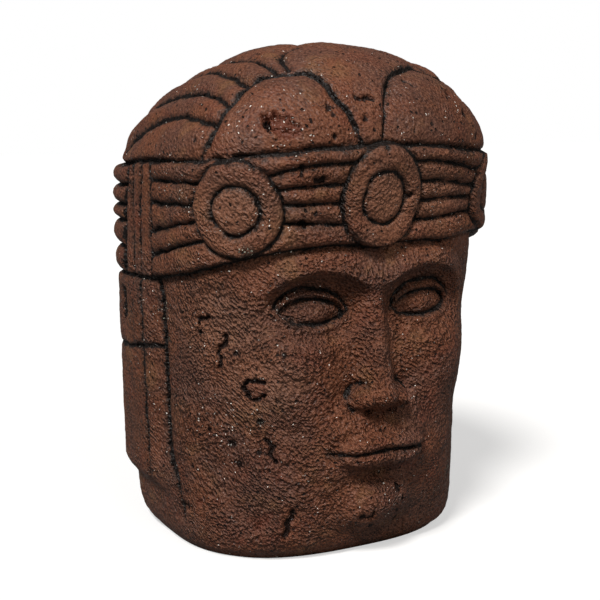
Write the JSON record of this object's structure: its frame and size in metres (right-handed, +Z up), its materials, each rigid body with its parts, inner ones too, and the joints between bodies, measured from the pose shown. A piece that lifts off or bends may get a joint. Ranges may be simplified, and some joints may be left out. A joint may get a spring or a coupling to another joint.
{
  "type": "olmec colossal head",
  "caption": "Carved colossal stone head in a corded helmet with round bosses, brow lobes and ear flaps, cut flat below to stand by its own weight.",
  "frame": {"origin": "middle of the head's box, on the flat underside that it stands on", "axes": "+Z up to the crown, the face looks along -Y, the head's own left ear is at +X"},
  "size_m": [1.2758, 1.2828, 1.8009],
  "materials": {
    "stone": "matte"
  },
  "bodies": {
    "root": {"colossal_head": "stone"}
  },
  "joints": []
}
